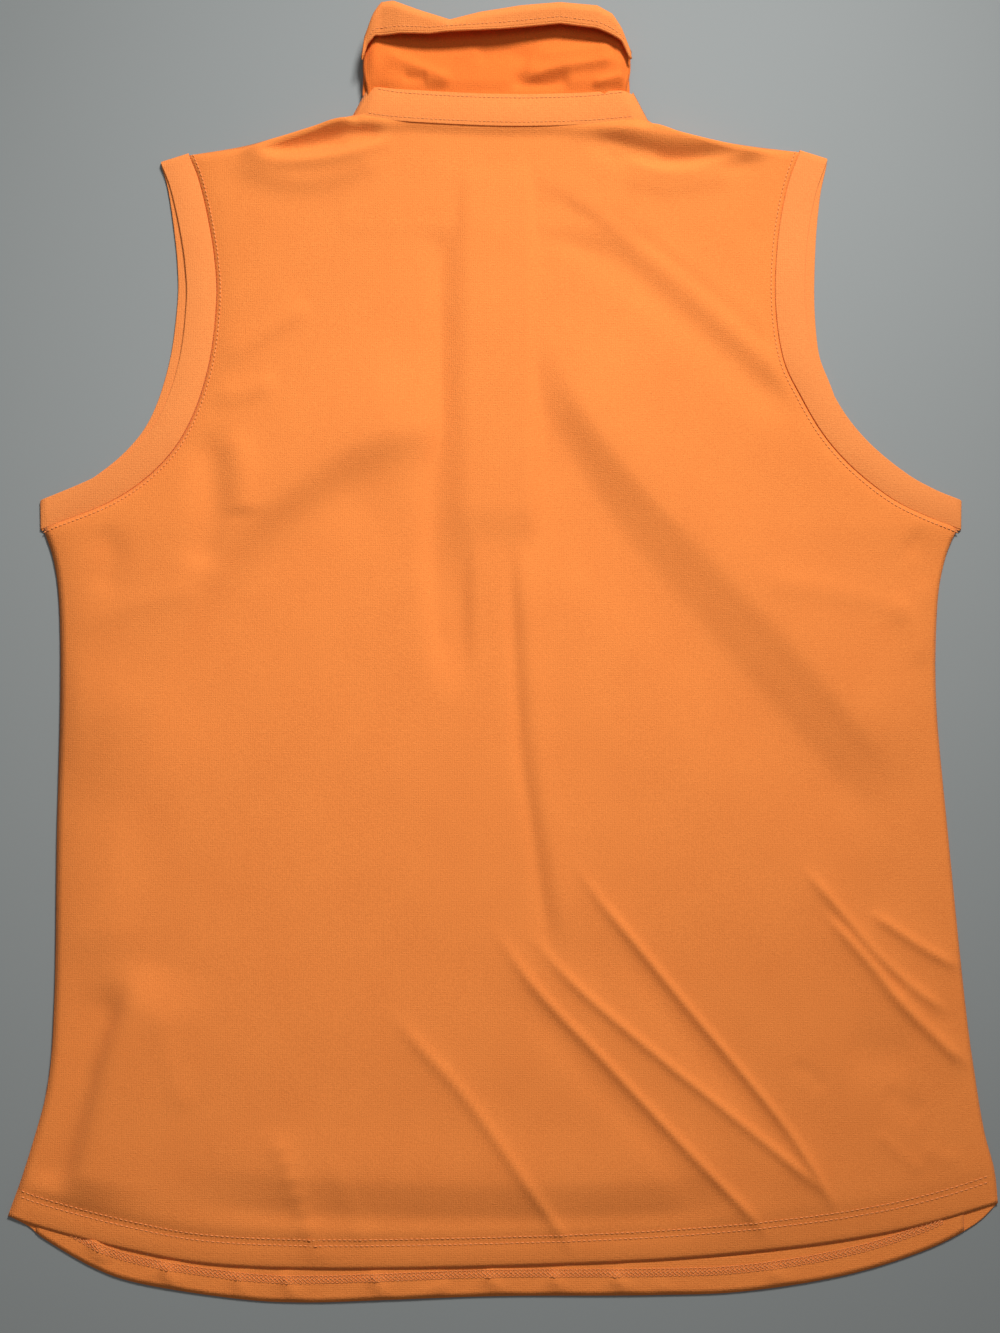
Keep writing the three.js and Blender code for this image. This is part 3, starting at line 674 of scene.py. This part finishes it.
def bandPath(side):
    edge = rightEdge if side > 0 else leftEdge
    seam = edge[89:][::-1]                       # from the shoulder down to the underarm
    out = flatNormals(seam, 1 if side > 0 else -1)
    share = np.linspace(0, 1, len(seam))
    atShoulder, atPit = smooth((0.16 - share) / 0.16)[:, None], smooth((share - 0.8) / 0.2)[:, None]
    out = out * (1 - atShoulder) + np.array([side * 0.95, -0.31, 0]) * atShoulder
    out = out * (1 - atPit) + np.array([side * 0.04, 1.0, 0]) * atPit
    out /= np.linalg.norm(out, axis=1)[:, None]
    top = onCloth(seam, backHeight, -0.2)
    top[:, 2] += 0.9 * np.sin(math.pi * share)
    reach = armholeBand["leftReach" if side < 0 else "rightReach"]
    shift = armholeBand["frontShift"] * np.sin(math.pi * np.clip(share / reach, 0, 1)) ** 0.8
    shift -= 1.2 * smooth((share - reach) / 0.1)
    low = onCloth(seam + out[:, :2] * shift[:, None], frontHeight, 0.05)
    return seam, out, top, low


def turnOver(start, end, away, steps=5):  # a half turn from the back ply to the front ply
    middle, half = (start + end) / 2, (start - end) / 2
    reach = max(np.linalg.norm(half), 0.9)
    angles = np.linspace(0, math.pi, steps + 2)[1:-1]
    return np.array([middle + half * math.cos(a) + away * reach * math.sin(a) for a in angles])


for sideName, side in (("left", -1), ("right", 1)):
    seam, out, top, low = bandPath(side)
    lifted = out + np.array([0, 0, 0.05])
    shoulderAway = np.array([0.0, 1.0, 0.0])
    pitAway = np.array([side * 1.0, 0.0, 0.0])
    underarm = turnOver(top[-1], low[-1], pitAway)
    shoulder = turnOver(low[0], top[0], shoulderAway)
    path = np.vstack([top, underarm, low[::-1], shoulder])
    ways = np.vstack([lifted, np.repeat(out[-1:], len(underarm), 0),
                      out[::-1], np.repeat(out[:1], len(shoulder), 0)])
    sweep(f"{sideName}_armhole_band_cloth", path, ways, bandSection, closed=True, slot="band_knit",
          replaces=(f"{sideName}_armhole_band",), material=bandKnit)
    row = seam - out[:, :2] * armholeBand["stitchInset"]
    stitchRow(f"{sideName}_armhole_row", onCloth(row, backHeight, 0.15), armholeBand["stitchPitch"],
              armholeBand["stitch"], armholeBand["thread"], slot="sewing_thread",
              replaces=(f"{sideName}_armhole_topstitch",), material=orangeThread)
print("armhole bands made")


# Hems

hem = {"depth": 20, "half": 262, "lowerRow": 13.4, "upperRow": 16.8, "pitch": 2.9, "stitch": 2.2,
       "thread": 0.36, "loopHalf": 252, "loopRow": 12.6, "loopWidth": 4.2, "loopPitch": 2.6,
       "loopThread": 0.24}


def hemPlace(hemAt, heightAt, lift):
    def place(u, v):
        x = (2 * u - 1) * hem["half"]
        y = hemAt(x) + 0.6 + (hem["depth"] + 1) * v
        return np.column_stack([x, y, heightAt(x, y) + lift])
    return place


backFold = gridPiece("back_hem_allowance", 150, 8, hemPlace(backHemY, backHeight, -plyThickness - 0.15),
                     slot="shell_knit", replaces=("back_hem",), material=bodyKnit)
thicken(backFold, 0.6)
frontFold = gridPiece("front_hem_allowance", 200, 8, hemPlace(frontHemY, frontHeight, 0.55),
                      slot="shell_knit", replaces=("front_hem",), material=bodyKnit)
thicken(frontFold, 0.5)

hemX = np.linspace(-271, 276, 240)
for rowName in ("lower", "upper"):
    line = np.column_stack([hemX, backHemY(hemX) + hem[rowName + "Row"]])
    stitchRow(f"back_hem_row_{rowName}", onCloth(line, backHeight, 0.1), hem["pitch"], hem["stitch"],
              hem["thread"], slot="sewing_thread", replaces=(f"back_hem_stitch_{rowName}",),
              material=orangeThread)


def loopedRow(name, hemAt, heightAt, lift, **finish):  # the looper thread inside a coverstitched hem
    count = int(2 * hem["loopHalf"] / hem["loopPitch"])
    t = np.linspace(0, count, count * 10)
    x = -hem["loopHalf"] + t * hem["loopPitch"] + 0.55 * hem["loopPitch"] * np.sin(4 * math.pi * t)
    across = 0.5 * hem["loopWidth"] * np.sin(2 * math.pi * t)
    y = hemAt(x) + hem["loopRow"] + across
    path = np.column_stack([x, y, heightAt(x, y) + lift + 0.12 * np.sin(4 * math.pi * t)])
    up = np.tile([0.0, 0.0, 1.0], (len(path), 1))
    return sweep(name, path, up, ringSection(hem["loopThread"], 5), **finish)


loopedRow("front_hem_loops", frontHemY, frontHeight, 0.75, slot="sewing_thread",
          replaces=("front_hem_coverstitch",), material=orangeThread)
print("hems made")


# Collar stand: a loop round the neck

standBand = {"height": 20, "thick": 1.0, "frontZ": 4.1, "lapZ": 1.2}


def neckRing(half, backZ, frontZ):
    back = np.column_stack([np.linspace(-half, half, 60), np.zeros(60), np.zeros(60)])
    back[:, 1] = backTopY(back[:, 0]) - 2.0
    back[:, 2] = standZ(back[:, 0] * 89 / half) + backZ
    sidePoints = [(half, 309), (half - 12, 284), (half - 36, 260), (30, 250), (-14, 246)]
    right = sampleLine(sidePoints, 46)
    front = np.column_stack([right, np.full(46, frontZ)])
    front[:, 2] += 1.6 * smooth((front[:, 1] - 301) / 8)
    return back, front


def standWays(front, side):
    ways = flatNormals(front, -1)
    start = np.array([-0.5, 1.0, 0.0])
    share = smooth(np.arange(len(front)) / 12)[:, None]
    ways = ways * np.sign(ways[-1, 1]) * share + start * (1 - share)
    return ways * np.array([side, 1, 1])


def standUp(x):  # the stand leans in towards its top
    lean = -0.5 * np.sign(x) * np.abs(x / 88) ** 3
    return np.column_stack([lean, np.ones(len(x)), np.zeros(len(x))])


backRing, rightFront = neckRing(89, 0, standBand["frontZ"])
rightWays = standWays(rightFront, 1)
mirrorX = np.array([-1.0, 1.0, 1.0])
leftFront, leftWays = rightFront * mirrorX, rightWays * mirrorX
leftFront[:, 2] += standBand["lapZ"] * smooth((30 - np.abs(leftFront[:, 0])) / 20)
ringPath = np.vstack([leftFront[::-1], backRing, rightFront])
ringWays = np.vstack([leftWays[::-1], standUp(backRing[:, 0]), rightWays])
sweep("collar_stand", ringPath, ringWays, cutSection(standBand["height"], standBand["thick"], 0.45, 3),
      slot="collar_knit", replaces=("collar_band_outer",), material=standKnit)

innerRing, _ = neckRing(83, -1.3, 0)
innerRing[:, 1] += 0.8
innerWays = standUp(innerRing[:, 0])
sweep("collar_stand_lining", innerRing, innerWays, cutSection(18.6, 0.6, 0.25, 2), slot="collar_knit",
      replaces=("collar_band_inner",), material=standKnit)
coreRing = innerRing + np.array([0, 0.6, 0.52])
sweep("collar_stand_interlining", coreRing, innerWays, cutSection(17, 0.2, 0.08, 1), slot="interlining",
      replaces=("collar_band_interlining",), material=whiteLining)
for row, name in ((2.6, "low"), (17.6, "high")):
    line = (backRing + standUp(backRing[:, 0]) * row + np.array([0, 0, 0.58]))[3:-3]
    stitchRow(f"collar_stand_row_{name}", line, 2.6, 2.1, 0.26, slot="sewing_thread", material=orangeThread,
              replaces=("collar_band_topstitch",) if name == "low" else ())
print("collar stand made")


# Collar leaf: turned up behind the neck, its edge curled over

leaf = {
    "half": 80.5, "middle": -2.0, "rootY": 323.5, "rootZ": 8.3, "turn": 5.7, "rootDrop": 3.9, "sideDrop": 5.0,
    "top": [(-83, 344), (-81.5, 357), (-76, 370), (-71, 377), (-64, 378), (-48, 372), (-30, 366), (-12, 371),
            (12, 375), (36, 377), (58, 375), (67, 370), (73, 361), (78.5, 349)],
    "rim": [(-83, 346), (-80, 353), (-75, 358), (-60, 358.5), (-42, 357.5), (0, 360.5), (36, 364), (58, 361),
            (66, 358), (73, 354), (78.5, 345)],
}
leafFolds = {
    "left": ([(-72, 350), (-52, 341), (-28, 331)], 2.2, 4, 6, 0.6),
    "leftLow": ([(-60, 334), (-44, 333)], -1.2, 4, 4, 0.2),
    "rightHollow": ([(4, 334), (24, 330), (44, 333)], -2.0, 5, 6, 0.2),
    "right": ([(10, 331), (34, 339), (72, 345)], 2.6, 6, 4, 0.7),
    "rightUpper": ([(20, 346), (48, 350), (70, 352)], 1.4, 5, 5, 0.4),
    "rightLow": ([(56, 329), (76, 335)], 1.6, 3, 4, 0.6),
    "middle": ([(-16, 346), (4, 350), (20, 344)], -1.4, 7, 7, 0.2),
}


def leafPoint(x, share, lift):  # share runs from the root over the curl to the free edge
    topY = np.interp(x, *zip(*leaf["top"]))
    rimY = np.interp(x, *zip(*leaf["rim"]))
    toEnd = smooth((np.abs(x - leaf["middle"]) - 56) / 24)
    turn = leaf["turn"] * (1 - 0.45 * toEnd)
    flat = topY - turn - leaf["rootY"]
    bend = math.pi * turn
    lip = np.maximum(topY - turn - rimY, 2)
    s = share * (flat + bend + lip)
    onBend = np.clip((s - flat) / bend, 0, 1)
    onLip = np.maximum(s - flat - bend, 0)
    angle = math.pi * onBend - math.pi / 2
    radius = turn - lift
    y = leaf["rootY"] + np.minimum(s, flat) + radius * np.cos(angle) * (s > flat) * (onLip <= 0)
    y = np.where(onLip > 0, leaf["rootY"] + flat - onLip, y)
    z = leaf["rootZ"] + leaf["turn"] + radius * np.sin(angle)
    level = smooth(np.minimum(s, flat) / 8) * (1 - smooth((s - flat + 8) / 8))
    z += foldHeight(x, leaf["rootY"] + np.minimum(s, flat), leafFolds) * level
    z += 1.6 * smooth(np.minimum(s, flat) / 10)
    z -= 0.2 * onLip * (1 + 0.3 * np.sin(x / 17))
    z += 0.4 * softNoise(x, s, 40, 2.7) * smooth(s / 20)
    x = x * (0.965 + 0.035 * smooth(s / 18))
    sideDrop = smooth((np.abs(x - leaf["middle"]) - leaf["half"] + 11) / 11) ** 2
    atRoot = 1 - smooth(s / 20)
    z -= leaf["rootDrop"] * smooth((np.abs(x) - 61) / 13) * atRoot
    z -= leaf["sideDrop"] * sideDrop * (1 - atRoot)
    return np.column_stack([x, y, z])


def leafPly(name, node, lift, thickness, inset, material, slot):
    def place(u, v):
        x = (2 * u - 1) * (leaf["half"] - inset) + leaf["middle"]
        return leafPoint(x, v * (1 - inset * 0.012), lift)
    piece = gridPiece(name, 110, 70, place, slot=slot, body=None, replaces=(node,), material=material)
    thicken(piece, thickness, 0.0)
    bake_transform(piece)


# The under collar takes the knit with painted shade for the hollow.
leafPly("under_collar_cloth", "under_collar", 0.55, 0.6, 0.3, leafShadeKnit, "collar_knit")
leafPly("leaf_interlining", "collar_interlining", 0.0, 0.2, 1.5, whiteLining, "interlining")
leafPly("upper_collar_cloth", "upper_collar", -0.55, 0.6, 0.0, standKnit, "collar_knit")

edgeX = np.linspace(-78, 74, 120)
edgeRow = leafPoint(edgeX, np.full(len(edgeX), 0.96), -0.9)
rimX = np.linspace(-82.3, 78.3, 140)
rim = leafPoint(rimX, np.full(len(rimX), 1.0), 0.0)
leafEdge = sweep("leaf_edge_roll", rim, np.tile([0, 0, 1.0], (len(rim), 1)), ringSection(1.0, 8),
                 slot="collar_knit", body=None, material=standKnit)
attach(leafEdge, "collar_leaf")
edgeStitch = stitchRow("collar_edge_row", edgeRow, 2.6, 2.1, 0.26, slot="sewing_thread", body=None,
                       replaces=("collar_edge_topstitch",), material=orangeThread)
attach(edgeStitch, "collar_leaf")


# Collar points: the front of the leaf, under the back of it

pointShape = {"root": [(84, 325), (67.5, 303.5), (51, 283.5), (31, 269.5), (8, 261.5)],
              "free": [(83, 356), (76, 363), (56, 352), (34, 338), (14, 325)],
              "height": 1.9, "endRise": 3.2, "thick": 1.4, "leftWidth": 0.985, "rightWidth": 0.93}

for sideName, side in (("left", -1), ("right", 1)):
    root, free = sampleLine(pointShape["root"], 40), sampleLine(pointShape["free"], 40)

    def place(u, v):
        a, b = alongLine(root, u), alongLine(free, u)
        at = a + (b - a) * v[:, None]
        z = pointShape["height"] + 0.35 * softNoise(at[:, 0], at[:, 1], 45, 3.1)
        z += pointShape["endRise"] * smooth((at[:, 0] - 75) / 9)
        return np.column_stack([at[:, 0] * pointShape[sideName + "Width"] * side, at[:, 1], z])

    point = gridPiece(f"collar_point_{sideName}_cloth", 40, 26, place, slot="collar_knit", body=None,
                      replaces=(f"collar_point_{sideName}",), material=leafShadeKnit)
    thicken(point, pointShape["thick"], 0.0)
    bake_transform(point)
print("collar leaf made")


# Placket

placket = {"half": 15.4, "footY": 75, "topY": 242, "outerZ": 3.95, "coreZ": 4.6, "innerZ": 5.3, "ply": 0.8,
           "core": 0.15, "allowance": 5}


def placketPly(name, node, half, z, thick, topY, material, slot="shell_knit"):
    path = [(0, y, z) for y in np.linspace(placket["footY"], topY, 40)]
    section = cutSection(2 * half, thick, thick * 0.45, 3) - np.array([half, 0])
    sweep(name, path, np.tile([1.0, 0, 0], (40, 1)), section, slot=slot, replaces=(node,), material=material)


placketPly("placket_outer_ply", "placket_top", placket["half"], placket["outerZ"], placket["ply"],
           placket["topY"], bodyKnit)
placketPly("placket_core", "placket_interlining", placket["half"] - 1.4, placket["coreZ"], placket["core"],
           placket["topY"] - 2, whiteLining, "interlining")
placketPly("placket_inner_ply", "placket_under", placket["half"], placket["innerZ"], placket["ply"],
           placket["topY"], bodyKnit)
for sideName, side in (("left", -1), ("right", 1)):
    line = np.column_stack([np.full(40, side * 15.2), np.linspace(76, 238, 40)])
    path = np.column_stack([line, np.full(40, placket["coreZ"] - 0.05)])
    sweep(f"{sideName}_placket_allowance", path, np.tile([side * 1.0, 0, 0], (40, 1)),
          cutSection(placket["allowance"], 0.5, 0.2, 2), slot="shell_knit",
          replaces=(f"{sideName}_placket_seam",), material=bodyKnit)

boxCorners = [(-12, 78), (12, 78), (12, 98), (-12, 98), (-12, 78)]
boxLine = np.vstack([np.linspace(a, b, 12) for a, b in zip(boxCorners, boxCorners[1:])])
boxPath = np.column_stack([boxLine, np.full(len(boxLine), placket["outerZ"] - 0.5)])
stitchRow("placket_box_row", boxPath, 2.6, 2.1, 0.26, slot="sewing_thread", replaces=("placket_box_stitch",),
          material=orangeThread)
print("placket made")


# Labels and tape inside the back

def patch(name, node, across, up, heightAt, lift, thick, material, slot):
    def place(u, v):
        x, y = across[0] + (across[1] - across[0]) * u, up[0] + (up[1] - up[0]) * v
        return np.column_stack([x, y, heightAt(x, y) + lift])
    piece = gridPiece(name, 24, 10, place, slot=slot, replaces=(node,), material=material)
    thicken(piece, thick)


insideBack = -plyThickness - 0.3
labels = {  # node, its edges across and up, what it lies on and how far from it
    "blank_neck_label": ("neck_label", (-38, -4), (272, 294), backHeight, insideBack),
    "blank_size_tab": ("size_tab", (6, 22), (280, 294), backHeight, insideBack),
    "blank_care_label": ("care_label", (-250, -217), (-211, -181), frontHeight, 0.5),
}
patch("neck_tape", "back_neck_tape", (-78, 78), (295, 305), backHeight, insideBack, 0.4, bandKnit,
      "band_knit")
for name, where in labels.items():
    patch(name, *where, 0.25, whiteSatin, "label_satin")
print("labels made")


# Buttons and their threads keep their own solids

for name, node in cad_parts.items():
    if name.startswith("button"):
        look = buttonResin if name[7:].isdigit() else orangeThread
        node.material_slots[0].material = look.made


# Table, light and camera

stage = {"tableSize": 6.0, "tilt": 5.73, "distance": 0.968, "aimY": -0.0205, "aimZ": 0.006, "lens": 45}


def tableLook():
    shader = Shader("paleTable", (0.22, 0.234, 0.231), 0.7)
    cloud = shader.noise(3, 3.0)
    shader.feed("Base Color", shader.blend(cloud, (0.212, 0.226, 0.223), (0.232, 0.246, 0.243)))
    return shader


bm = bmesh.new()
bmesh.ops.create_grid(bm, x_segments=1, y_segments=1, size=stage["tableSize"])
tableMesh = bpy.data.meshes.new("table")
bm.to_mesh(tableMesh)
bm.free()
table = bpy.data.objects.new("table", tableMesh)
tableMesh.materials.append(tableLook().made)
bpy.context.scene.collection.objects.link(table)


def areaLight(name, place, aim, size, power, spread=180):
    lamp = bpy.data.lights.new(name, "AREA")
    lamp.shape, lamp.size, lamp.energy, lamp.spread = "DISK", size, power, math.radians(spread)
    holder = bpy.data.objects.new(name, lamp)
    holder.location = place
    holder.rotation_euler = (Vector(aim) - Vector(place)).to_track_quat("-Z", "Y").to_euler()
    bpy.context.scene.collection.objects.link(holder)


areaLight("softKey", (0.32, 0.97, 0.97), (-0.11, -0.12, 0), 0.35, 6.0, spread=85)
areaLight("softTop", (-0.1, 0.2, 1.9), (0, 0, 0), 1.0, 4)
world = bpy.data.worlds.new("room")
world.use_nodes = True
world.node_tree.nodes["Background"].inputs["Color"].default_value = (1, 1, 1, 1)
world.node_tree.nodes["Background"].inputs["Strength"].default_value = 0.14
bpy.context.scene.world = world
bpy.context.scene.view_settings.view_transform = "Standard"

camera = bpy.data.objects.new("camera", bpy.data.cameras.new("camera"))
tilt = math.radians(stage["tilt"])
camera.location = (0, stage["aimY"] - stage["distance"] * math.sin(tilt),
                   stage["aimZ"] + stage["distance"] * math.cos(tilt))
camera.rotation_euler = (tilt, 0, 0)
camera.data.lens = stage["lens"]
camera.data.clip_start = 0.05
bpy.context.scene.collection.objects.link(camera)
bpy.context.scene.camera = camera
